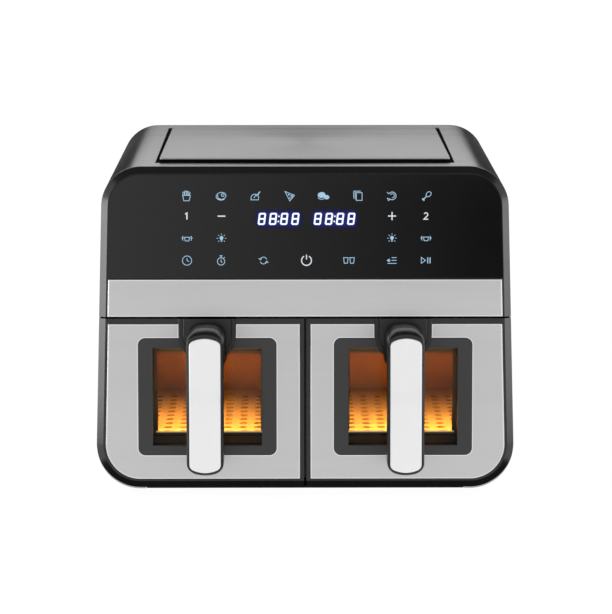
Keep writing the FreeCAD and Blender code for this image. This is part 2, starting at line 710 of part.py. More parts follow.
def make_power_board():
    """The mains board on four posts, with its relays, choke and capacitors as plain blocks."""
    low = "deck_bottom + deck_sheet"
    under = f"{low} + circuit_rise"
    over = f"{under} + board_sheet"
    board = block("circuit", ("-circuit_half", "circuit_half"),
                  (behind("circuit_front"), behind("circuit_back")), (under, over))
    posts = [rod("circuit_post", (f"{way} * (circuit_half - 6)", behind(y), low), "circuit_rise", 3)
             for way in (-1, 1) for y in ("circuit_front + 6", "circuit_back - 6")]
    relays = [block("relay", (x, x + 16), (behind(206), behind(226)), (over, f"{over} + 15.4"))
              for x in (-46, -24, 8, 30)]
    choke = block("choke", (-44, -14), (behind(240), behind(272)), (over, f"{over} + 24.4"))
    capacitors = [rod("capacitor", (x, behind(y), over), 20, 6) for x, y in ((8, 246), (24, 246), (40, 262))]
    node(fuse("power_board", [board] + posts + relays + [choke] + capacitors), "power_board")


def make_chamber_fittings():
    """Lamps and temperature sensors hang from the chamber roofs; fuses and switches sit beside them."""
    roof = "liner_top - sheet"
    lamps = []
    sensors = []
    fuses = []
    switches = []
    for side in SIDES.values():
        lamp_x = f"{side} * lamp_x"
        base = rod("lamp_base", (lamp_x, behind("lamp_y"), f"{roof} - 8"), 8, 9)
        bulb = rod("lamp_bulb", (lamp_x, behind("lamp_y"), f"{roof} - 24"), 17, 6)
        lamps.append(fuse("lamp", [base, bulb]))
        sensors.append(rod("sensor", (f"{side} * sensor_x", behind("sensor_y"), f"{roof} - 26"), 26, 2.2))
        fuses.append(rod("fuse", (f"{side} * fuse_x - 12", behind("fuse_y"), "deck_bottom + deck_sheet + 3"),
                         24, 3, "x"))
        switches.append(block("switch", (f"{side} * 32 - 12", f"{side} * 32 + 12"),
                              ("-partition_back", "-partition_back + 9"),
                              ("plate_top - 3", "plate_top + 7")))
    node(group("chamber_lamps", lamps), "chamber_lamps")
    node(group("temperature_sensors", sensors), "temperature_sensors")
    node(group("thermal_fuses", fuses), "thermal_fuses")
    node(lean(group("drawer_switches", switches)), "drawer_switches")


# ---- drawers: each piece is made for the right side and mirrored ----

def window_rectangle(half, rise):
    return rectangle(f"window_centre - ({half})", f"window_centre + {half}",
                     f"window_middle - ({rise})", f"window_middle + {rise}")


def drawer_outline(low, high, inner, inset):
    """The right drawer's share of the face."""
    return [(inner, low), (half_at(low, inset), low), (half_at(high, inset), high), (inner, high)]


def make_drawer_frame():
    """The drawer front: a bevelled flange over the casing's edge and a plug that sits inside it."""
    outline = drawer_outline("0", "drawer_top", "drawer_inner", "0")
    flange = face_slab("drawer_flange", "-rim_depth", "0", [outline])
    round_edges(flange, "bottom_radius", at_corner("y", [outline[1]]))
    inner = number("drawer_inner")
    top = number("drawer_top")
    bevel_edges(flange, "bevel", at_level(
        "y", "0", unless=lambda point: abs(point.x - inner) < 0.1 or abs(point.z - top) < 0.1))
    margin = "shell_wall + plug_margin"
    plug_outline = drawer_outline("4.5", "plate_top", "plug_margin", margin)
    plug = face_slab("drawer_plug", "-plug_depth", "-rim_depth", [plug_outline])
    round_edges(plug, "bottom_radius - plug_margin - 2", at_corner("y", [plug_outline[1]]))
    pocket = plate_blank("plate_pocket", "-plate_proud", "2", "0.1")
    opening = face_slab("drawer_opening", "-plug_depth - 2", "2",
                        [window_rectangle("border_half - 3", "border_rise - 3")])
    notch = collar_blank("drawer_notch", "collar_half + 0.1", "-plate_proud", "2")
    whole = fuse("drawer_front", [flange, plug])
    both_sides(lean(cut("right_drawer_frame", whole, [pocket, opening, notch])), "drawer_frame")


def plate_blank(name, back, front, grow):
    outline = drawer_outline("plate_bottom - " + grow, "plate_top + " + grow,
                             "plate_inner - " + grow, "band + plate_edge - " + grow)
    body = face_slab(name, back, front, [outline])
    round_edges(body, "bottom_radius - band", at_corner("y", [outline[1]]))
    return body


def collar_blank(name, half, back, front):
    """A tongue with a round lower end, from the drawer's top edge down around the handle's root."""
    disc = face_slab(name + "_disc", back, front, [], [("handle_x", "collar_middle", half)])
    upper = face_slab(name + "_upper", back, front,
                      [rectangle(f"handle_x - ({half})", f"handle_x + {half}",
                                 "collar_middle", "drawer_top")])
    above = block(name + "_above", (0, 200), (-100, 100), ("drawer_top", "drawer_top + 60"))
    return cut(name + "_blank", fuse(name + "_whole", [disc, upper]), [above])


def make_face_plate():
    plate = plate_blank("plate_blank", "-plate_proud", "plate_proud", "0")
    bevel_edges(plate, 0.4, at_level("y", "-plate_proud"))
    border = face_slab("plate_window", "-3", "3", [window_rectangle("border_half + 0.1", "border_rise + 0.1")])
    round_edges(border, "border_radius",
                at_corner("y", window_rectangle("border_half + 0.1", "border_rise + 0.1")))
    notch = collar_blank("plate_notch", "collar_half + 0.1", "-3", "3")
    both_sides(lean(cut("right_face_plate", plate, [border, notch])), "face_plate")


def make_window():
    outline = window_rectangle("border_half", "border_rise")
    ring_body = face_slab("border_front", "-plate_proud", "border_proud", [outline])
    round_edges(ring_body, "border_radius", at_corner("y", outline))
    round_edges(ring_body, 0.9, at_level("y", "-border_proud"))
    tunnel = face_slab("border_tunnel", "-plug_depth", "-plate_proud",
                       [window_rectangle("border_half - 3.1", "border_rise - 3.1")])
    opening = face_slab("border_opening", "-plug_depth - 2", "4",
                        [window_rectangle("glass_half", "glass_rise")])
    seat = face_slab("border_seat", "-plug_depth - 2", "-plug_depth + glass_sheet + 4",
                     [window_rectangle("glass_half + 4", "glass_rise + 4")])
    notch = collar_blank("border_notch", "collar_half + 0.1", "-20", "8")
    blank = fuse("border_whole", [ring_body, tunnel])
    both_sides(lean(cut("right_window_border", blank, [opening, seat, notch])), "window_border")
    pane = face_slab("right_window_glass", "-plug_depth + 4", "-plug_depth + 4 + glass_sheet",
                     [window_rectangle("glass_half + 3.8", "glass_rise + 3.8")])
    both_sides(lean(pane), "window_glass")


def make_back_cover():
    """Insulating spacer between the drawer front and the basket, with a tunnel behind the window."""
    inner = "window_centre - basket_half - rim_reach"
    outer = "window_centre + basket_half + rim_reach"
    outline = [(inner, "spacer_bottom"), (f"{outer} - spacer_chamfer", "spacer_bottom"),
               (outer, "spacer_bottom + spacer_chamfer"), (outer, "spacer_top"), (inner, "spacer_top")]
    spacer = lean(face_slab("spacer", "-80", "-plug_depth", [outline]))
    beyond = block("spacer_beyond", (-10, 240), (behind("basket_front"), behind(200)), (-60, 320))
    tunnel = lean(face_slab("spacer_tunnel", "-100", "10",
                            [window_rectangle("glass_half + 5", "glass_rise + 5")]))
    both_sides(cut("right_back_cover", spacer, [beyond, tunnel]), "back_cover")


def make_inner_glass():
    pane = block("right_inner_glass", ("window_centre - glass_half - 3", "window_centre + glass_half + 3"),
                 (behind("basket_front - glass_sheet"), behind("basket_front")), ("pane_bottom", "pane_top"))
    both_sides(pane, "inner_glass")


def make_handle():
    """Neck out of the collar and a free-hanging grip, with a bright insert let into its front."""
    collar = collar_blank("collar", "collar_half", "-plate_proud", "collar_proud")
    root = [("-collar_proud", "neck_top"), ("-collar_proud", "neck_bottom"),
            ("-grip_back", "neck_bottom - 6"), ("-grip_back", "grip_bottom"),
            ("-grip_reach", "grip_bottom"), ("-grip_reach", "grip_top"),
            ("-grip_back + 8", "grip_top + 3")]
    grip = slab("handle_bar", "YZ_Plane", "handle_x - grip_half", "grip_half * 2", [root])
    round_edges(grip, 12, at_corner("x", [root[2]]))
    round_edges(grip, 10, at_corner("x", [root[5]]))
    round_edges(grip, 6, at_corner("x", [root[4]]))
    round_edges(grip, 4, at_corner("x", [root[3]]))
    insert = handle_insert_blank("insert_pocket", "0.05", "8")
    both_sides(lean(collar), "handle_collar")
    both_sides(lean(cut("right_handle", grip, [insert])), "handle")
    both_sides(lean(handle_insert_blank("handle_insert", "0", "0.6")), "handle_insert")


def handle_insert_blank(name, grow, front):
    half = f"(insert_half + {grow})"
    outline = rectangle(f"handle_x - {half}", f"handle_x + {half}", f"insert_bottom - {grow}",
                        f"insert_top + {grow}")
    body = face_slab(name, "grip_reach - insert_sheet", f"grip_reach + {front}", [outline])
    round_edges(body, "insert_half - 4.5", at_corner("y", outline))
    return body


def basket_blank(name, inset, low, high):
    half = f"(basket_half - ({inset}))"
    front = behind(f"basket_front + {inset}")
    back = behind(f"basket_front + basket_length - ({inset})")
    outline = rectangle(f"window_centre - {half}", f"window_centre + {half}", front, back)
    body = plan_slab(name, low, high, [outline])
    round_edges(body, f"basket_radius - ({inset})", at_corner("z", outline))
    return body


def make_basket():
    outside = basket_blank("basket_outside", "0", "basket_floor", "basket_rim")
    round_edges(outside, "basket_bend", at_level("z", "basket_floor"))
    flange = basket_blank("basket_flange", "-rim_reach", "basket_rim - basket_wall", "basket_rim")
    inside = basket_blank("basket_inside", "basket_wall", "basket_floor + basket_wall", "basket_rim + 10")
    round_edges(inside, "basket_bend - basket_wall", at_level("z", "basket_floor + basket_wall"))
    front_clear = block("basket_front_clear", (-10, 240), (behind("basket_front - 30"), behind("basket_front")),
                        (100, 200))
    window = block("basket_window", ("window_centre - glass_half + 2", "window_centre + glass_half - 2"),
                   (behind("basket_front - 5"), behind("basket_front + 5")),
                   ("pane_bottom + 3", "pane_top - 3"))
    whole = fuse("basket_whole", [outside, flange])
    both_sides(cut("right_basket", whole, [inside, front_clear, window]), "basket")


def make_crisper():
    inset = "basket_wall + crisper_gap"
    plate = basket_blank("crisper_blank", inset, "crisper_height", "crisper_height + crisper_sheet")
    columns = [f"window_centre + {i} * hole_pitch" for i in range(-4, 5)]
    rows = [behind(f"basket_front + basket_length / 2 + {j} * hole_pitch") for j in range(-6, 7)]
    holes = [rod("crisper_hole", (x, y, "crisper_height - 2"), 6, "hole_radius")
             for x in columns for y in rows]
    both_sides(cut("right_crisper_plate", plate, [group("crisper_holes", holes)]), "crisper_plate")
    feet = []
    for across, along in [(a, b) for a in (-1, 1) for b in (-1, 1)]:
        x = f"window_centre + {across} * (basket_half - pad_inset)"
        y = behind(f"basket_front + basket_length / 2 + {along} * (basket_length / 2 - pad_margin)")
        feet.append(rod("crisper_foot", (x, y, "basket_floor + basket_wall"),
                        "crisper_height - basket_floor - basket_wall", "pad_radius"))
    both_sides(group("right_crisper_feet", feet), "crisper_feet")


# ---- build, check and write ----

def check_and_write():
    doc.recompute()
    for item in doc.Objects:
        if "Invalid" in item.State or "Error" in item.State:
            raise RuntimeError(f"{item.Name} is {item.State}")
    for item in PARTS:
        shape = item.Shape
        if shape.isNull() or not shape.isValid() or shape.Volume <= 0:
            raise RuntimeError(f"{item.Label} has no valid solid")
    os.makedirs("parts", exist_ok=True)
    for item in PARTS:
        item.Shape.exportStep(f"parts/{item.Label}.step")


def main():
    make_outer_shell()
    make_top_plate()
    make_top_plate_carrier()
    make_base_pan()
    make_rear_cover()
    make_cord_gland()
    make_housing_screws()
    make_feet()
    make_front_frame()
    make_panel()
    make_display()
    make_chassis_deck()
    make_chambers()
    make_heaters()
    make_heater_guards()
    make_reflectors()
    make_motors()
    make_fans()
    make_power_board()
    make_chamber_fittings()
    make_drawer_frame()
    make_face_plate()
    make_window()
    make_back_cover()
    make_inner_glass()
    make_handle()
    make_basket()
    make_crisper()
    check_and_write()


main()
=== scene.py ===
import json
import math

import bmesh
import bpy
from mathutils import Matrix, Vector

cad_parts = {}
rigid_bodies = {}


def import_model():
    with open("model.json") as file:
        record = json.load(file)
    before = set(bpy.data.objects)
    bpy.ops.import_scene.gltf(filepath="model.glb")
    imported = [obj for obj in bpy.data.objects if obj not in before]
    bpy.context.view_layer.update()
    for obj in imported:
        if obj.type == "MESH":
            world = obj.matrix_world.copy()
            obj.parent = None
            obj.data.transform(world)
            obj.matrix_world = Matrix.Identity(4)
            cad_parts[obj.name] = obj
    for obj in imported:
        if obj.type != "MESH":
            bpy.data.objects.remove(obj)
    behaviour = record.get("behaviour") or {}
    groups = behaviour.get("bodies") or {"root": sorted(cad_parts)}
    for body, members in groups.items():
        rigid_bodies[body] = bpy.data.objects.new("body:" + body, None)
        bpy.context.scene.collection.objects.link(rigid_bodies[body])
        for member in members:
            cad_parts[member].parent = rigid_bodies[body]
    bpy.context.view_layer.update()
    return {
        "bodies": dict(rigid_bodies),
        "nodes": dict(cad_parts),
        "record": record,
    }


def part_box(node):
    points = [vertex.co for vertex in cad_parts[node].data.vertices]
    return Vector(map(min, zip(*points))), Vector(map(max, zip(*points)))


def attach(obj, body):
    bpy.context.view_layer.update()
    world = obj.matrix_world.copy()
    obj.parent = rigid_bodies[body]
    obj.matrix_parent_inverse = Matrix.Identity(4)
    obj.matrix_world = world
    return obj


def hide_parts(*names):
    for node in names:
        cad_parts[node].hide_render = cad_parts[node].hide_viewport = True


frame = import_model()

# Looks for a dual-drawer air fryer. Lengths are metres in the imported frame: +Z is up, and the drawers open
# towards -Y. Places on the leaning front are (x, height up the face, distance out of it) in millimetres.

NODES = frame["nodes"]
SLOT_OF = {row["node"]: row["material_slot"] for row in frame["record"]["subparts"]}
SIDES = {"left": -1, "right": 1}
MM = 0.001


# ---- the leaning front face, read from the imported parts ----

RIM_DEPTH = 8.0  # how far a drawer's rim stands out of the face, in millimetres


def face_frame():
    """The foot of the face and its upward and outward directions, from the panel glass and a drawer's rim."""
    glass = NODES["panel_glass"].data
    front = max((p for p in glass.polygons if p.normal.y < -0.9), key=lambda p: p.area)
    outward = Vector((0, front.normal.y, front.normal.z)).normalized()
    upward = Vector((0, outward.z, -outward.y))
    foot_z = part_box("right_drawer_frame")[0].z + RIM_DEPTH * MM * outward.z
    climb = (front.center.z - foot_z) / upward.z
    return Vector((0, front.center.y - climb * upward.y, foot_z)), upward, outward


FOOT, UP, OUT = face_frame()


def on_face(x, height, out=0.0):
    """A point on the leaning front, from millimetres across it, up it and out of it."""
    return FOOT + Vector((x * MM, 0, 0)) + UP * (height * MM) + OUT * (out * MM)


# ---- meshes ----

def new_piece(name, mesh, body, material):
    """A visible piece that moves with a body."""
    piece = bpy.data.objects.new(name, mesh)
    bpy.context.scene.collection.objects.link(piece)
    piece.data.materials.append(material)
    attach(piece, body)
    return piece


def mesh_from(name, points, faces, smooth=0):
    """A closed mesh. Edges that bend by less than the smoothing angle, in degrees, are shaded smooth."""
    mesh = bpy.data.meshes.new(name)
    mesh.from_pydata([tuple(p) for p in points], [], faces)
    tidy = bmesh.new()
    tidy.from_mesh(mesh)
    bmesh.ops.remove_doubles(tidy, verts=tidy.verts, dist=1e-7)
    bmesh.ops.recalc_face_normals(tidy, faces=tidy.faces)
    tidy.to_mesh(mesh)
    tidy.free()
    if smooth:
        for polygon in mesh.polygons:
            polygon.use_smooth = True
        mesh.set_sharp_from_angle(angle=math.radians(smooth))
    return mesh


def loft(name, sections, smooth=32):
    """A closed skin through outlines that have the same number of points."""
    count = len(sections[0])
    points = [point for section in sections for point in section]
    faces = [tuple(range(count)), tuple(range(len(points) - count, len(points)))]
    for ring in range(len(sections) - 1):
        under, over = ring * count, (ring + 1) * count
        for i in range(count):
            j = (i + 1) % count
            faces.append((under + i, under + j, over + j, over + i))
    return mesh_from(name, points, faces, smooth)


SHARPEST_MITRE = 0.35  # cosine of half the sharpest turn that a ribbon's corner still follows


class Relief:
    """Collects thin closed shapes that stand a little proud of the face."""

    def __init__(self, centre, out, rise):
        self.centre, self.out, self.rise = centre, out, rise
        self.points, self.faces = [], []

    def _place(self, x, y, out):
        return on_face(self.centre[0] + x, self.centre[1] + y, out)

    def fill(self, outline):
        """A filled shape with the given outline."""
        first = len(self.points)
        count = len(outline)
        self.points += [self._place(x, y, self.out) for x, y in outline]
        self.points += [self._place(x, y, self.out + self.rise) for x, y in outline]
        self.faces.append(tuple(first + i for i in range(count)))
        self.faces.append(tuple(first + count + i for i in range(count)))
        for i in range(count):
            j = (i + 1) % count
            self.faces.append((first + i, first + j, first + count + j, first + count + i))

    def stroke(self, path, width, closed=False):
        """A ribbon of even width along a path, with mitred corners."""
        count = len(path)
        left, right = [], []
        for i, (x, y) in enumerate(path):
            before = path[i - 1] if closed or i > 0 else None
            after = path[(i + 1) % count] if closed or i < count - 1 else None
            headings = []
            if before:
                headings.append(Vector((x - before[0], y - before[1])).normalized())
            if after:
                headings.append(Vector((after[0] - x, after[1] - y)).normalized())
            heading = sum(headings, Vector((0, 0))).normalized()
            reach = width / 2 / max(SHARPEST_MITRE, heading.dot(headings[0]))
            side = Vector((-heading.y, heading.x)) * reach
            left.append((x + side.x, y + side.y))
            right.append((x - side.x, y - side.y))
        steps = count if closed else count - 1
        first = len(self.points)
        for level in (self.out, self.out + self.rise):
            self.points += [self._place(x, y, level) for x, y in left]
            self.points += [self._place(x, y, level) for x, y in right]
        under, over = first, first + 2 * count
        for i in range(steps):
            j = (i + 1) % count
            self.faces.append((under + i, under + j, under + count + j, under + count + i))
            self.faces.append((over + i, over + j, over + count + j, over + count + i))
            self.faces.append((under + i, under + j, over + j, over + i))
            self.faces.append((under + count + i, under + count + j, over + count + j, over + count + i))
        if not closed:
            for i in (0, count - 1):
                self.faces.append((under + i, under + count + i, over + count + i, over + i))

    def build(self, name, body, material):
        return new_piece(name, mesh_from(name, self.points, self.faces), body, material)


def arc(radius, start, end, steps=24, centre=(0, 0), squash=1.0, tilt=0.0):
    """Points along an arc or ellipse, in degrees."""
    turn = math.radians(tilt)
    points = []
    for i in range(steps + 1):
        angle = math.radians(start + (end - start) * i / steps)
        x, y = radius * math.cos(angle), radius * squash * math.sin(angle)
        points.append((centre[0] + x * math.cos(turn) - y * math.sin(turn),
                       centre[1] + x * math.sin(turn) + y * math.cos(turn)))
    return points


def loop(radius, steps=28, centre=(0, 0), squash=1.0, tilt=0.0):
    """Points round a whole circle or ellipse, without repeating the first."""
    return arc(radius, 0, 360 * (steps - 1) / steps, steps - 1, centre, squash, tilt)


# ---- materials ----

class Shader:
    """A node material: adds nodes by type and sets or links their sockets by name."""

    def __init__(self, name):
        self.material = bpy.data.materials.new(name)
        self.material.use_nodes = True
        self.tree = self.material.node_tree
        self.tree.nodes.clear()
        self.output = self.tree.nodes.new("ShaderNodeOutputMaterial")

    def add(self, kind, **sockets):
        item = self.tree.nodes.new(f"ShaderNode{kind}")
        for name, value in sockets.items():
            self.put(item, name, value)
        return item

    def put(self, item, name, value):
        """Sets or links one socket, named with underscores for spaces, or _0, _1 and so on by its number."""
        label = name.replace("_", " ")
        socket = item.inputs.get(label) or item.inputs[int(name[1:])]
        if isinstance(value, bpy.types.NodeSocket):
            self.tree.links.new(value, socket)
        else:
            socket.default_value = value

    def grain(self, scale, stretch=(1, 1, 1), detail=3.0):
        """Noise in the object's own coordinates, stretched along one way for brushing."""
        place = self.add("TexCoord")
        mapping = self.add("Mapping", Vector=place.outputs["Object"], Scale=stretch)
        noise = self.add("TexNoise", Vector=mapping.outputs["Vector"], Scale=scale, Detail=detail,
                         Roughness=0.6)
        return noise.outputs["Fac"]

    def ramp(self, value, low, high, start=0.3, end=0.7):
        """A colour ramp between two colours over part of a value's range."""
        item = self.add("ValToRGB", Fac=value)
        item.color_ramp.elements[0].position = start
        item.color_ramp.elements[1].position = end
        item.color_ramp.elements[0].color = (*low, 1)
        item.color_ramp.elements[1].color = (*high, 1)
        return item.outputs["Color"]

    def spread(self, value, low, high):
        """Maps a noise value, most of which lies between 0.25 and 0.75, to a range."""
        item = self.add("MapRange", Value=value, To_Min=low, To_Max=high)
        item.inputs["From Min"].default_value = 0.25
        item.inputs["From Max"].default_value = 0.75
        return item.outputs["Result"]

    def bump(self, height, distance):
        item = self.add("Bump", Height=height, Distance=distance, Strength=1.0)
        return item.outputs["Normal"]

    def finish(self, shader):
        self.tree.links.new(shader.outputs[0], self.output.inputs["Surface"])
        return self.material


def shade(colour, factor):
    """A lighter or darker tone of a colour."""
    return tuple(min(1.0, c * factor) for c in colour)


def surface(name, colour, metallic=0.0, roughness=0.5, scale=600.0, stretch=(1, 1, 1), shift=0.12,
            rough_shift=0.06, relief=0.00002, **extra):
    """A material whose colour, roughness and relief all follow a fine grain."""
    shader = Shader(name)
    fine = shader.grain(scale, stretch)
    broad = shader.grain(scale / 40, stretch, detail=2.0)
    both = shader.add("Math", _0=fine, _1=broad)
    both.operation = "ADD"
    half = shader.add("Math", _0=both.outputs[0], _1=0.5)
    half.operation = "MULTIPLY"
    mixed = half.outputs[0]
    body = shader.add("BsdfPrincipled",
                      Base_Color=shader.ramp(mixed, shade(colour, 1 - shift), shade(colour, 1 + shift)),
                      Roughness=shader.spread(mixed, roughness - rough_shift, roughness + rough_shift),
                      Normal=shader.bump(fine, relief))
    body.inputs["Metallic"].default_value = metallic
    for label, value in extra.items():
        shader.put(body, label, value)
    return shader.finish(body)


def brushed(name, colour, along, roughness=0.34, shift=0.05):
    """Metal with fine brush lines along one axis."""
    stretch = {"x": (0.012, 1, 1), "y": (1, 0.012, 1), "z": (1, 1, 0.012)}[along]
    return surface(name, colour, metallic=1.0, roughness=roughness, scale=2600.0, stretch=stretch,
                   shift=shift, rough_shift=0.05, relief=0.000004, Anisotropic=0.5)


def clear_glass(name, tint):
    """A thin pane: mostly clear, with a reflection that grows towards grazing angles."""
    shader = Shader(name)
    smear = shader.grain(9.0, detail=4.0)
    facing = shader.add("Fresnel")
    facing.inputs["IOR"].default_value = 1.45
    tinted = shader.add("BsdfTransparent", Color=shader.ramp(smear, shade(tint, 0.985), tint))
    gloss = shader.add("BsdfGlossy", Roughness=shader.spread(smear, 0.02, 0.04))
    gloss.inputs["Color"].default_value = (0.13, 0.13, 0.13, 1)
    mix = shader.add("MixShader", _0=facing.outputs[0], _1=tinted.outputs[0], _2=gloss.outputs[0])
    return shader.finish(mix)


def lit(name, colour, strength):
    """A printed mark lit from behind, a little uneven like real diffuser ink."""
    shader = Shader(name)
    cloud = shader.grain(420.0)
    body = shader.add("BsdfPrincipled", Emission_Color=shader.ramp(cloud, shade(colour, 0.86), colour))
    body.inputs["Base Color"].default_value = (0.02, 0.02, 0.03, 1)
    body.inputs["Roughness"].default_value = 0.3
    body.inputs["Emission Strength"].default_value = strength
    return shader.finish(body)


# The glow behind a display, in millimetres: half the width and height of its even part, and how far it fades.
HAZE_CORE = (16.2, 2.6)
HAZE_FADE = 8.0


def haze(name, colour):
    """Light scattered in the dark glass around the figures, fading out to the piece's rounded edge."""
    shader = Shader(name)
    place = shader.add("TexCoord")
    away = shader.add("VectorMath", _0=place.outputs["Object"])
    away.operation = "ABSOLUTE"
    past = shader.add("VectorMath", _0=away.outputs[0], _1=(HAZE_CORE[0] * MM, HAZE_CORE[1] * MM, 1.0))
    past.operation = "SUBTRACT"
    outside = shader.add("VectorMath", _0=past.outputs[0], _1=(0, 0, 0))
    outside.operation = "MAXIMUM"
    distance = shader.add("VectorMath", _0=outside.outputs[0])
    distance.operation = "LENGTH"
    fade = shader.add("MapRange", Value=distance.outputs["Value"], To_Min=1.0, To_Max=0.0)
    fade.interpolation_type = "SMOOTHERSTEP"
    fade.inputs["From Min"].default_value = 0.0
    fade.inputs["From Max"].default_value = HAZE_FADE * MM
    cloud = shader.grain(300.0)
    glow = shader.add("Emission", Color=shader.ramp(cloud, shade(colour, 0.85), colour))
    clear = shader.add("BsdfTransparent")
    mix = shader.add("MixShader", _0=fade.outputs[0], _1=clear.outputs[0], _2=glow.outputs[0])
    return shader.finish(mix)


MATERIALS = {}


def make_materials():
    m = MATERIALS
    m["metallic_housing"] = brushed("housing_metal", (0.42, 0.42, 0.425), "x", roughness=0.3)
    m["metallic_top"] = brushed("top_metal", (0.455, 0.455, 0.46), "x", roughness=0.3, shift=0.02)
    m["black_frame"] = surface("satin_black", (0.004, 0.004, 0.0042), roughness=0.26, scale=1500, shift=0.1)
    m["black_plastic"] = surface("matt_black", (0.006, 0.006, 0.0062), roughness=0.5, scale=1800,
                                 relief=0.00004, Specular_IOR_Level=0.3)
    # Black plastic darkened further and made nearly unreflective: painted shade in the groove round the top
    # plate.
    m["groove_shade_black"] = surface("groove_shade_black", (0.003, 0.003, 0.003), roughness=0.8, scale=1800,
                                relief=0.00004, Specular_IOR_Level=0.02)
    m["panel_black_glass"] = surface("panel_gloss", (0.0012, 0.0012, 0.0012), roughness=0.06, scale=40,
                                     rough_shift=0.02, relief=0.0000002, IOR=1.45)
    m["brushed_plate"] = brushed("brushed_steel", (0.55, 0.55, 0.555), "x", roughness=0.36, shift=0.03)
    # A lighter copy of the brushed steel: a painted highlight for the glint along the plates' edges.
    m["painted_edge_highlight"] = brushed("painted_edge_highlight", (0.8, 0.8, 0.81), "x", roughness=0.3, shift=0.03)
    m["border_grey"] = surface("border_grey", (0.018, 0.018, 0.019), roughness=0.42, scale=2200,
                               relief=0.00003)
    m["window_glass"] = clear_glass("window_pane", (0.97, 0.97, 0.96))
    m["handle_grip"] = surface("grip_plastic", (0.006, 0.006, 0.0063), roughness=0.24, scale=1600,
                               Specular_IOR_Level=0.42)
    m["neck_black"] = surface("neck_black", (0.008, 0.008, 0.0084), roughness=0.4, scale=1600,
                              Specular_IOR_Level=0.12)
    m["handle_insert"] = brushed("insert_metal", (0.84, 0.84, 0.845), "z", roughness=0.42, shift=0.02)
    m["coated_metal"] = surface("bronze_coating", (0.22, 0.115, 0.04), metallic=0.6, roughness=0.36,
                                scale=900, shift=0.25)
    m["crisper_bronze"] = surface("crisper_bronze", (0.44, 0.21, 0.05), metallic=0.6, roughness=0.34,
                                  scale=900, shift=0.25)
    # A real brass lip with a painted glow (emission) that stands in for the chamber lamp's light on it.
    m["brass_lip_painted_glow"] = surface("brass_lip_painted_glow", (0.85, 0.66, 0.42), metallic=0.55, roughness=0.3, scale=700,
                             Emission_Color=(0.72, 0.52, 0.3, 1), Emission_Strength=0.55)
    m["galvanised"] = surface("galvanised_sheet", (0.5, 0.51, 0.52), metallic=1.0, roughness=0.4,
                              scale=140, shift=0.18)
    m["heater_steel"] = surface("heater_tube", (0.2, 0.16, 0.14), metallic=0.9, roughness=0.45, scale=500,
                                shift=0.3)
    m["motor_steel"] = surface("motor_steel", (0.16, 0.16, 0.17), metallic=0.8, roughness=0.45, scale=1200,
                               stretch=(1, 1, 14))
    m["fan_aluminium"] = brushed("fan_aluminium", (0.62, 0.63, 0.64), "x")
    m["board_green"] = surface("board_green", (0.02, 0.09, 0.045), roughness=0.45, scale=260, shift=0.4)
    m["digit_white"] = lit("digit_block", (0.3, 0.32, 0.6), 0.2)
    m["lamp_glass"] = lit("lamp_bulb", (1.0, 0.66, 0.3), 14.0)
    m["spring_steel"] = surface("spring_steel", (0.6, 0.6, 0.61), metallic=1.0, roughness=0.25, scale=1500)
    m["sensor_steel"] = surface("sensor_steel", (0.62, 0.62, 0.63), metallic=1.0, roughness=0.2, scale=1800)
    m["foot_rubber"] = surface("foot_rubber", (0.018, 0.018, 0.018), roughness=0.75, scale=1400,
                               relief=0.00006)
    m["silicone"] = surface("silicone", (0.05, 0.05, 0.052), roughness=0.6, scale=1200)
    m["screw_steel"] = surface("screw_steel", (0.2, 0.2, 0.21), metallic=1.0, roughness=0.35, scale=2000)
    m["icon_blue"] = lit("icon_blue", (0.36, 0.58, 0.76), 1.0)
    m["icon_white"] = lit("icon_white", (0.72, 0.78, 0.84), 1.0)
    m["digit_glow"] = lit("digit_segment", (0.8, 0.87, 1.0), 1.3)
    m["digit_haze"] = haze("digit_haze", (0.022, 0.024, 0.15))


# The tray under the top plate shows only as the dark line of its groove; its black is darker and less glossy
# than the other black plastic, painted shade for the groove. The crisper plates' coating is lighter than the
# baskets'.
FINISH_OF = {"top_plate_carrier": "groove_shade_black", "left_crisper_plate": "crisper_bronze",
             "right_crisper_plate": "crisper_bronze"}


def dress_nodes():
    """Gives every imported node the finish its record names."""
    for name, item in NODES.items():
        item.data.materials.clear()
        item.data.materials.append(MATERIALS[FINISH_OF.get(name, SLOT_OF[name])])


# ---- stage, light and camera ----

# The camera's place from the foot of the face in metres, its turn in degrees, and its lens in millimetres.
CAMERA_OFFSET, CAMERA_SETBACK, CAMERA_RISE = -0.0091, 2.002, 0.622
CAMERA_PITCH, CAMERA_YAW = 12.6, -0.28
FOCAL_LENGTH, SENSOR_WIDTH = 129.93, 36
VIEW_REACH = 60

# Brightness of the stage, where 1 is white.
BACKDROP = 1.0
DARK_CARD = 0.03
CEILING = 0.12
BOX_LEVEL = {"left": 6.2, "right": 3.7}
KEY_POWER, FILL_POWER, CHAMBER_POWER = 18, 8, 2.5

BEHIND = 0.75  # how far behind the object its dark cards stand
BOX_X, BOX_Y, BOX_WIDTH, BOX_HEIGHT = 0.62, -0.105, 0.21, 0.34
SWEEP_Y = -20
FLOOR_REACH = 30
LIT_POINT = (0, 0, 0.15)


def make_camera():
    camera = bpy.data.objects.new("camera", bpy.data.cameras.new("camera"))
    bpy.context.scene.collection.objects.link(camera)
    camera.location = FOOT + Vector((CAMERA_OFFSET, -CAMERA_SETBACK, CAMERA_RISE))
    camera.rotation_euler = (math.radians(90 - CAMERA_PITCH), 0, math.radians(CAMERA_YAW))
    camera.data.lens = FOCAL_LENGTH
    camera.data.sensor_width = SENSOR_WIDTH
    camera.data.clip_end = VIEW_REACH
    bpy.context.scene.camera = camera


def flat_sheet(name, corners):
    mesh = bpy.data.meshes.new(name)
    mesh.from_pydata(corners, [], [(0, 1, 2, 3)])
    item = bpy.data.objects.new(name, mesh)
    bpy.context.scene.collection.objects.link(item)
    return item


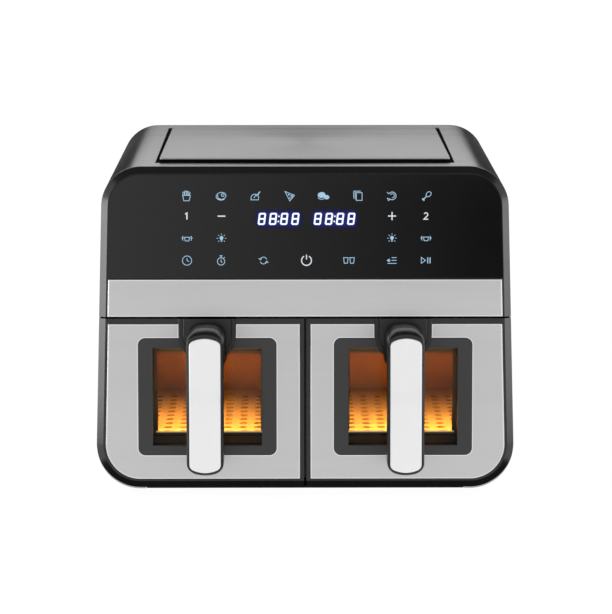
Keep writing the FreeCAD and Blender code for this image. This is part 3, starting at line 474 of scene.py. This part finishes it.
def card(name, centre, width, height, material, turn=(0, 0, 0)):
    """A flat upright studio card, seen only in reflections."""
    x, z = width / 2, height / 2
    item = flat_sheet(name, [(-x, 0, -z), (x, 0, -z), (x, 0, z), (-x, 0, z)])
    item.location = centre
    item.rotation_euler = [math.radians(a) for a in turn]
    item.data.materials.append(material)
    item.visible_camera = False
    item.visible_diffuse = False
    item.visible_shadow = False
    item.visible_transmission = False


def area_light(name, location, target, size, power, colour=(1, 1, 1)):
    data = bpy.data.lights.new(name, "AREA")
    data.shape = "RECTANGLE"
    data.size, data.size_y = size
    data.energy = power
    data.color = colour
    item = bpy.data.objects.new(name, data)
    bpy.context.scene.collection.objects.link(item)
    item.location = location
    item.rotation_euler = (Vector(target) - Vector(location)).to_track_quat("-Z", "Y").to_euler()
    return item


def make_stage():
    scene = bpy.context.scene
    scene.view_settings.view_transform = "Standard"
    world = bpy.data.worlds.new("studio")
    world.use_nodes = True
    world.node_tree.nodes["Background"].inputs["Color"].default_value = (1, 1, 1, 1)
    world.node_tree.nodes["Background"].inputs["Strength"].default_value = BACKDROP
    scene.world = world
    make_floor()
    make_cards()
    key = area_light("key", (-1.6, -1.2, 1.5), LIT_POINT, (1.2, 1.2), KEY_POWER)
    fill = area_light("fill", (1.6, -1.2, 1.2), LIT_POINT, (1.0, 1.0), FILL_POWER)
    for lamp in (key, fill):
        lamp.visible_glossy = False


def make_cards():
    """Dark cards behind and above the object, a dark card under it that is painted shadow for the bevels'
    reflections, a bright one each side for the bevels, and a far sweep for the panel and the steel."""
    dark = glow_card("dark_card", DARK_CARD)
    card("back_card", (0, BEHIND, 0.215), 4.0, 0.43, dark)
    for name, side in SIDES.items():
        card(f"{name}_back_card", (side * 1.35, BEHIND, 0.65), 2.1, 1.3, dark)
    card("ceiling_card", (0, -0.3, 1.1), 2.4, 1.6, glow_card("ceiling_dark", CEILING), (90, 0, 0))
    # Painted shadow: a dark card on the floor under the object, seen only in reflections, where the bevels
    # would see its shadow.
    card("floor_shadow_card", (0, 0.03, 0.001), 0.5, 0.39, glow_card("painted_floor_shadow", DARK_CARD), (90, 0, 0))
    for name, side in SIDES.items():
        bright = sweep(f"{name}_bright", "Z", 0.62, 1.0, (0.09, 0.74), BOX_LEVEL[name])
        centre = (side * BOX_X, BOX_Y, BOX_HEIGHT / 2 + 0.01)
        card(f"{name}_box", centre, BOX_WIDTH, BOX_HEIGHT, bright, (0, 0, 90))
    card("sweep_card", (0, SWEEP_Y, 2.0), 5.0, 1.7, sweep("sweep_card", "X", 1.0, 0.13, (0.12, 0.88)))


def make_floor():
    """A pale floor that is nearly as bright as the backdrop, so the object's shadow stays faint."""
    r = FLOOR_REACH
    floor = flat_sheet("floor", [(-r, -r, 0), (r, -r, 0), (r, r, 0), (-r, r, 0)])
    pale = Shader("pale_floor")
    grain = pale.grain(6.0)
    sheet = pale.add("BsdfPrincipled", Base_Color=pale.ramp(grain, (0.05, 0.05, 0.05), (0.06, 0.06, 0.06)),
                     Emission_Color=pale.ramp(grain, (0.965, 0.965, 0.965), (0.98, 0.98, 0.98)))
    sheet.inputs["Roughness"].default_value = 1.0
    sheet.inputs["Specular IOR Level"].default_value = 0.0
    sheet.inputs["Emission Strength"].default_value = 1.0
    floor.data.materials.append(pale.finish(sheet))


def glow_card(name, level):
    """An evenly lit card material."""
    shader = Shader(name)
    flat = shader.add("Emission")
    flat.inputs["Color"].default_value = (1, 1, 1, 1)
    flat.inputs["Strength"].default_value = level
    return shader.finish(flat)


def sweep(name, axis, start, end, reach, level=1.0):
    """A card material whose light changes evenly over part of the card's width (X) or height (Z)."""
    shader = Shader(name)
    place = shader.add("TexCoord")
    across = shader.add("SeparateXYZ", Vector=place.outputs["Generated"])
    glow = shader.add("Emission", Color=shader.ramp(across.outputs[axis], (start,) * 3, (end,) * 3, *reach))
    glow.inputs["Strength"].default_value = level
    return shader.finish(glow)


def make_chamber_light():
    """The warm light on the baskets, from just under the chamber lamps and a little behind them."""
    low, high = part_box("chamber_lamps")
    for name, side in SIDES.items():
        x, y = side * HANDLE_X * MM, (low.y + high.y) / 2 + 0.03
        source, target = (x, y, low.z - 0.01), (x, y + 0.012, 0)
        item = area_light(f"{name}_glow", source, target, (0.12, 0.06), CHAMBER_POWER, (1.0, 0.7, 0.32))
        item.data.spread = math.radians(94)
        item.parent = frame["bodies"]["housing"]


# ---- panel marks ----

GLASS_OUT = 0.03
MARK_RISE = 0.12
HAZE_RISE = 0.02
LINE = 0.62
ROW_FOOD, ROW_ZONE, ROW_LAMP, ROW_TIME = 274.8, 256.0, 235.3, 214.5
DIGIT_HEIGHT = 253.4
DIGIT_SLANT = 0.12
DIGIT_STROKE = 1.6
DIGIT_HALF = (2.62, 4.85)
DISPLAYS = {"left": -24.7, "right": 27.5}


def digit(relief, x):
    """One seven-segment figure, all segments lit."""
    w, h = DIGIT_HALF
    bars = [((-w, h), (w, h)), ((-w, 0), (w, 0)), ((-w, -h), (w, -h))]
    for side in (-w, w):
        bars += [((side, 0), (side, h)), ((side, -h), (side, 0))]
    for bar in bars:
        relief.stroke([(x + p + q * DIGIT_SLANT, q) for p, q in bar], DIGIT_STROKE)


def make_haze(name, centre):
    """A thin clear film on the glass, wide enough to hold the glow around one display."""
    w, h = (core + HAZE_FADE for core in HAZE_CORE)
    outline = [(-w, -h), (w, -h), (w, h), (-w, h)]
    points = [Vector((x, y, level)) * MM for level in (-HAZE_RISE, 0) for x, y in outline]
    faces = [(0, 1, 2, 3), (4, 5, 6, 7), (0, 1, 5, 4), (1, 2, 6, 5), (2, 3, 7, 6), (3, 0, 4, 7)]
    film = bpy.data.objects.new(f"{name}_haze", mesh_from(f"{name}_haze", points, faces))
    bpy.context.scene.collection.objects.link(film)
    film.data.materials.append(MATERIALS["digit_haze"])
    turned = Matrix((Vector((1, 0, 0)), UP, OUT)).transposed().to_4x4()
    film.matrix_world = Matrix.Translation(on_face(centre, DIGIT_HEIGHT, GLASS_OUT)) @ turned
    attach(film, "housing")


def make_digits():
    """Two lit displays, each of four figures with a colon between the pairs."""
    for name, centre in DISPLAYS.items():
        make_haze(name, centre)
        relief = Relief((centre, DIGIT_HEIGHT), GLASS_OUT, MARK_RISE)
        for place in (-15.6, -5.2, 5.2, 15.6):
            digit(relief, place)
        for height in (-2.4, 2.4):
            relief.fill(loop(0.8, 12, (height * DIGIT_SLANT, height)))
        relief.build(f"{name}_digits", "housing", MATERIALS["digit_glow"])


def make_icons():
    """Each icon is a list of strokes: points, width and whether it closes. Width 0 means a filled shape."""
    for name, (x, height), strokes in ICONS:
        relief = Relief((x, height), GLASS_OUT, MARK_RISE)
        for path, width, closed in strokes:
            if width:
                relief.stroke(path, width, closed)
            else:
                relief.fill(path)
        tone = "icon_white" if name in WHITE_ICONS else "icon_blue"
        relief.build(f"icon_{name}", "housing", MATERIALS[tone])


WHITE_ICONS = {"one", "two", "minus", "plus", "power"}


def rays(count, inner, outer, skip=()):
    lines = []
    for i in range(count):
        if i in skip:
            continue
        angle = math.radians(90 + 360 * i / count)
        lines.append(([(inner * math.cos(angle), inner * math.sin(angle)),
                       (outer * math.cos(angle), outer * math.sin(angle))], 0.5, False))
    return lines


def lamp_icon():
    bulb = arc(1.7, -55, 235, 18, (0, 0.4))
    return [(bulb + [(-0.7, -2.2), (0.7, -2.2)], 0, True), ([(-0.8, -2.9), (0.8, -2.9)], 0.55, False)] + \
        rays(8, 3.0, 4.4, skip=(4,))


def shake_icon():
    """A small basket between two curved arrows."""
    arrows = []
    for side in (-1, 1):
        arrows.append((arc(4.2, 90 - side * 60, 90 - side * 120, 8), LINE, False))
        tip = (side * 4.2, -0.2)
        arrows.append(([(tip[0] - 1.0, tip[1] + 0.7), tip, (tip[0] + 1.0, tip[1] + 0.7)], 0.6, False))
    return arrows + [([(-2.4, 1.0), (-1.7, -2.4), (1.7, -2.4), (2.4, 1.0)], LINE, True)]


ICONS = [
    ("fries", (-110.6, ROW_FOOD), [
        ([(-3.6, 0.6), (-2.5, -4.4), (2.5, -4.4), (3.6, 0.6)], LINE, True),
        ([(-3.2, 0.8), (-3.4, 3.6), (-2.0, 3.8), (-1.8, 0.8)], LINE, False),
        ([(-1.6, 0.8), (-1.4, 4.6), (0.2, 4.6), (0.2, 0.8)], LINE, False),
        ([(0.6, 0.8), (1.0, 4.2), (2.4, 3.8), (2.0, 0.8)], LINE, False),
        ([(2.2, 0.8), (3.6, 3.2)], LINE, False)]),
    ("steak", (-78.4, ROW_FOOD), [
        (loop(4.6, 26, squash=0.72, tilt=12), LINE, True),
        (loop(1.3, 14, (1.6, 0.9)), LINE, True),
        (arc(2.6, 150, 280, 10, (-0.6, -0.2)), LINE, False),
        (arc(4.2, 200, 320, 12, (0, -0.9), squash=0.7), LINE, False)]),
    ("poultry", (-46.2, ROW_FOOD), [
        (arc(3.6, 10, 200, 18, (-0.6, -1.6), squash=0.9) + [(-4.4, -3.6), (2.6, -3.6)], LINE, True),
        ([(-1.6, -2.0), (0.2, 0.8), (1.4, -0.4)], 0.6, False),
        ([(1.8, 0.8), (4.2, 4.2)], 1.1, False)]),
    ("pizza", (-14.5, ROW_FOOD), [
        ([(-4.2, 4.2), (4.6, 0.6), (0.2, -4.6)], LINE, True),
        (loop(0.8, 10, (-0.6, 1.2)), 0, True),
        (loop(0.8, 10, (1.6, 0.2)), 0, True),
        (loop(0.7, 10, (0.3, -1.8)), 0, True),
        (arc(6.4, -38, -2, 8, (-3.4, 1.6)), 0.6, False)]),
    ("bread", (17.2, ROW_FOOD), [
        (loop(3.6, 22, (-1.8, 0.9), squash=0.75, tilt=8), 0, True),
        (loop(2.5, 18, (3.0, -1.2), squash=0.8), 0, True),
        (arc(3.6, 200, 330, 12, (-1.8, -0.6), squash=0.7), 0.6, False)]),
    ("toast", (49.4, ROW_FOOD), [
        ([(-1.6, 3.0), (3.8, 3.0), (3.8, -4.2), (-1.6, -4.2)], LINE, True),
        ([(-2.6, 3.6), (-2.6, -3.2)], LINE, False),
        ([(-4.0, 4.4), (2.6, 4.4)], LINE, False),
        ([(-4.0, 4.4), (-4.0, -2.4)], LINE, False)]),
    ("shrimp", (81.1, ROW_FOOD), [
        (arc(3.6, 150, -120, 22, (0.2, 0)), LINE, False),
        (arc(1.9, 160, -100, 16, (0.4, 0.2)), LINE, False),
        ([(-3.0, 1.8), (-4.6, 3.6)], LINE, False),
        ([(-1.6, -3.2), (-4.2, -2.2), (-3.4, -4.4)], 0.6, True)]),
    ("drumstick", (113.8, ROW_FOOD), [
        (loop(2.7, 20, (1.5, 1.5), squash=0.74, tilt=45), LINE, True),
        ([(-0.4, -0.4), (-3.2, -3.2)], 0.9, False),
        (loop(0.8, 10, (-3.9, -3.0)), 0, True),
        (loop(0.8, 10, (-3.0, -3.9)), 0, True)]),
    ("one", (-110.6, ROW_ZONE), [([(-1.3, 1.9), (0.3, 2.9), (0.3, -3.1)], 1.2, False)]),
    ("minus", (-78.0, ROW_ZONE), [([(-3.6, 0), (3.6, 0)], 1.2, False)]),
    ("plus", (81.2, ROW_ZONE), [([(-3.8, 0), (3.8, 0)], 1.1, False), ([(0, -3.8), (0, -0.55)], 1.1, False),
                                ([(0, 0.55), (0, 3.8)], 1.1, False)]),
    ("two", (112.9, ROW_ZONE), [
        (arc(1.7, 160, -30, 10, (0, 1.3)) + [(-1.9, -3.0), (2.1, -3.0)], 1.0, False)]),
    ("shake_left", (-110.3, ROW_LAMP), shake_icon()),
    ("lamp_left", (-78.1, ROW_LAMP), lamp_icon()),
    ("lamp_right", (81.2, ROW_LAMP), lamp_icon()),
    ("shake_right", (113.0, ROW_LAMP), shake_icon()),
    ("clock", (-110.4, ROW_TIME), [
        (loop(4.3), LINE, True), ([(0, 2.2), (0, 0), (1.9, -0.9)], LINE, False)]),
    ("stopwatch", (-78.6, ROW_TIME), [
        (loop(3.4, centre=(0, -0.8)), LINE, True), ([(-1.2, 4.4), (1.2, 4.4)], 0.9, False),
        ([(0, 3.9), (0, 2.8)], 0.7, False), ([(2.6, 2.4), (3.5, 3.2)], 0.7, False),
        ([(0, 0.9), (0, -1.0), (1.2, -1.8)], 0.7, False)]),
    ("sync", (-38.9, ROW_TIME), [
        (arc(3.2, 20, 165, 14), LINE, False), (arc(3.2, 200, 345, 14), LINE, False),
        ([(-4.5, 2.2), (-3.1, 0.6), (-1.6, 2.0)], 0.6, False),
        ([(4.5, -2.2), (3.1, -0.6), (1.6, -2.0)], 0.6, False)]),
    ("power", (1.3, ROW_TIME), [
        (arc(4.6, 120, 420, 30), 1.0, False), ([(0, 1.0), (0, 5.4)], 1.0, False)]),
    ("dual", (41.0, ROW_TIME), [
        ([(-5.0, 2.6), (-0.8, 2.6), (-1.4, -2.6), (-4.4, -2.6)], LINE, True),
        ([(0.8, 2.6), (5.0, 2.6), (4.4, -2.6), (1.4, -2.6)], LINE, True)]),
    ("menu", (81.3, ROW_TIME), [
        ([(-0.4, 2.6), (4.2, 2.6)], LINE, False), ([(-0.4, 0), (4.2, 0)], LINE, False),
        ([(-4.2, -2.8), (4.2, -2.8)], LINE, False), ([(-2.2, 1.4), (-4.4, 0), (-2.2, -1.4)], 0.7, False),
        ([(-4.2, 0), (-1.4, 0)], 0.7, False)]),
    ("start_stop", (113.1, ROW_TIME), [
        ([(-4.4, 2.8), (-0.4, 0), (-4.4, -2.8)], LINE, True), ([(1.6, 2.8), (1.6, -2.8)], 0.9, False),
        ([(3.8, 2.8), (3.8, -2.8)], 0.9, False)]),
]


# ---- handles ----

HANDLE_X = 91.8
GRIP_BACK = 43.0
COLLAR_MIDDLE = 146.0
DRAWER_TOP = 160.0

# Each row: distance out of the face, then half width, lower end, upper end, bow of the ends, corner radius.
GRIP = [
    (3.0, 18.6, 113.0, 157.0, 2.6, 10.5),
    (4.4, 17.5, 115.0, 156.0, 2.6, 10.0),
    (20.0, 17.0, 117.0, 155.8, 2.8, 9.5),
    (34.0, 17.0, 115.0, 155.4, 3.2, 9.0),
    (42.9, 17.0, 111.0, 155.0, 3.6, 8.5),
    (43.0, 17.0, 21.0, 155.0, 3.6, 8.5),
    (52.0, 17.0, 21.0, 154.0, 4.0, 8.0),
    (59.4, 17.0, 21.0, 152.4, 4.4, 7.4),
    (60.9, 16.6, 21.4, 151.6, 4.4, 7.0),
    (61.8, 15.9, 22.0, 150.4, 4.4, 6.2),
    (62.0, 15.1, 22.7, 149.2, 4.3, 5.2),
    (62.0, 14.8, 23.0, 148.2, 4.2, 4.4),
    (60.7, 14.8, 23.0, 148.2, 4.2, 4.4),
]
INSERT = [
    (60.7, 14.25, 23.6, 147.2, 4.0, 3.6),
    (62.2, 14.25, 23.6, 147.2, 4.0, 3.6),
    (62.6, 13.75, 24.1, 146.7, 3.9, 3.2),
]
# Each row: distance out of the face, half width.
COLLAR = [(-0.6, 27.0), (2.2, 27.0), (2.8, 26.4), (2.8, 23.3), (2.1, 22.9), (2.1, 22.5), (3.5, 22.5),
          (4.0, 22.0)]


def bend(start, elbow, end, steps=6):
    """Points along a curve from start to end that leaves towards the elbow."""
    points = []
    for i in range(steps + 1):
        t = i / steps
        weights = ((1 - t) ** 2, 2 * t * (1 - t), t * t)
        points.append(tuple(sum(w * v for w, v in zip(weights, row)) for row in zip(start, elbow, end)))
    return points


def arched(half, bottom, top, bow, corner, steps=10):
    """Outline with straight sides, ends bowed outwards and rounded corners."""
    outline = []
    for way, end in ((1, top), (-1, bottom)):
        def edge(x):
            return end - way * bow * (x / half) ** 2
        flat = half - corner
        shoulder = end - way * bow
        side = way * half
        outline += bend((side, shoulder - way * corner), (side, shoulder), (way * flat, edge(flat)))
        outline += [(x, edge(x)) for x in (way * flat * (1 - 2 * i / steps) for i in range(1, steps))]
        outline += bend((-way * flat, edge(flat)), (-side, shoulder), (-side, shoulder - way * corner))
    return outline


def tongue(half):
    """Outline with a flat top and a half-round lower end."""
    lower = [(x, COLLAR_MIDDLE + y) for x, y in arc(half, 0, -180, 36)]
    return [(half, DRAWER_TOP)] + lower + [(-half, DRAWER_TOP)]


def matt_neck(piece):
    """Gives the neck behind the grip a matt finish: only the grip itself has a sheen."""
    piece.data.materials.append(MATERIALS["neck_black"])
    for polygon in piece.data.polygons:
        if (polygon.center - FOOT).dot(OUT) < GRIP_BACK * MM:
            polygon.material_index = 1


def make_handles():
    for side, way in SIDES.items():
        def placed(out, outline):
            return [on_face(way * HANDLE_X + x, height, out) for x, height in outline]
        grip = [placed(out, arched(*row)) for out, *row in GRIP]
        face = [placed(out, arched(*row)) for out, *row in INSERT]
        collar = [placed(out, tongue(half)) for out, half in COLLAR]
        for label, node, finish, sections in (("grip", "handle", "handle_grip", grip),
                                              ("grip_face", "handle_insert", "handle_insert", face),
                                              ("grip_collar", "handle_collar", "handle_grip", collar)):
            name = f"{side}_{label}"
            piece = new_piece(name, loft(name, sections), f"{side}_drawer",
                              MATERIALS[finish])
            if label == "grip":
                matt_neck(piece)
            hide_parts(f"{side}_{node}")


# ---- painted highlights on the edges of the steel plates ----

# Size of the painted edge highlight in millimetres: its width, its rise out of the plate and its sink into
# it.
EDGE_WIDTH = 0.75
EDGE_RISE = 0.06
EDGE_SINK = 0.02


def face_loops(node):
    """Outlines of a plate's front face as (x, height) points, and how far the face stands out."""
    mesh = NODES[node].data
    fronts = [p for p in mesh.polygons if p.normal.dot(OUT) > 0.999]
    level = max((p.center - FOOT).dot(OUT) for p in fronts)
    fronts = [p for p in fronts if (p.center - FOOT).dot(OUT) > level - 0.05 * MM]
    seen = {}
    for polygon in fronts:
        ring = list(polygon.vertices)
        for a, b in zip(ring, ring[1:] + ring[:1]):
            seen[(spot(mesh, a), spot(mesh, b))] = True
    follow = {a: b for a, b in seen if (b, a) not in seen}
    loops = []
    while follow:
        first, point = follow.popitem()
        ring = [first]
        while point != first:
            ring.append(point)
            point = follow.pop(point)
        loops.append(ring)
    return loops, level / MM


def spot(mesh, index):
    """A vertex as (x, height) on the face, rounded so that equal places compare equal."""
    place = mesh.vertices[index].co - FOOT
    return round(place.x / MM, 3), round(place.dot(UP) / MM, 3)


def inset(ring, distance):
    """The outline moved into the plate: front faces run counter-clockwise, holes the other way."""
    moved = []
    for i, point in enumerate(ring):
        before, after = Vector(ring[i - 1]), Vector(ring[(i + 1) % len(ring)])
        here = Vector(point)
        steps = ((here - before).normalized(), (after - here).normalized())
        sides = [Vector((-step.y, step.x)) for step in steps]
        inward = (sides[0] + sides[1]).normalized()
        shift = here + inward * distance / max(0.5, inward.dot(sides[0]))
        moved.append((shift.x, shift.y))
    return moved


def make_edge_highlights():
    """A painted highlight: a lighter steel line round each steel plate, sunk a little into it, standing in
    for the glint on its edge.
    """
    for node in ("left_face_plate", "right_face_plate", "trim_strip"):
        rings, level = face_loops(node)
        relief = Relief((0, 0), level - EDGE_SINK, EDGE_RISE + EDGE_SINK)
        for ring in rings:
            relief.stroke(inset(ring, EDGE_WIDTH / 2), EDGE_WIDTH, True)
        body = "housing" if node == "trim_strip" else node.replace("face_plate", "drawer")
        relief.build(f"{node}_edge", body, MATERIALS["painted_edge_highlight"])


# ---- basket lips ----

# Millimetres: the rolled edge's size, how far its middle stands above the foot of the glass, and its gap to
# the sides of the glass.
LIP_HEIGHT, LIP_DEPTH = 1.6, 1.4
LIP_RISE = 3.2
LIP_GAP = 3


def make_lips():
    """The rolled brass edge along the foot of each basket's window; its brass also glows with painted light
    that stands in for the lamp's highlight on it.
    """
    for side in SIDES:
        low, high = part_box(f"{side}_inner_glass")
        y, z = high.y, low.z + LIP_RISE * MM
        sections = []
        for x in (low.x + LIP_GAP * MM, high.x - LIP_GAP * MM):
            ring = loop(0.5, 14)
            sections.append([Vector((x, y + a * LIP_DEPTH * MM, z + b * LIP_HEIGHT * MM)) for a, b in ring])
        name = f"{side}_basket_lip"
        new_piece(name, loft(name, sections, 50), f"{side}_drawer",
                  MATERIALS["brass_lip_painted_glow"])


# ---- the whole ----


def main():
    make_materials()
    dress_nodes()
    make_digits()
    make_icons()
    make_handles()
    make_edge_highlights()
    make_lips()
    make_camera()
    make_stage()
    make_chamber_light()


main()
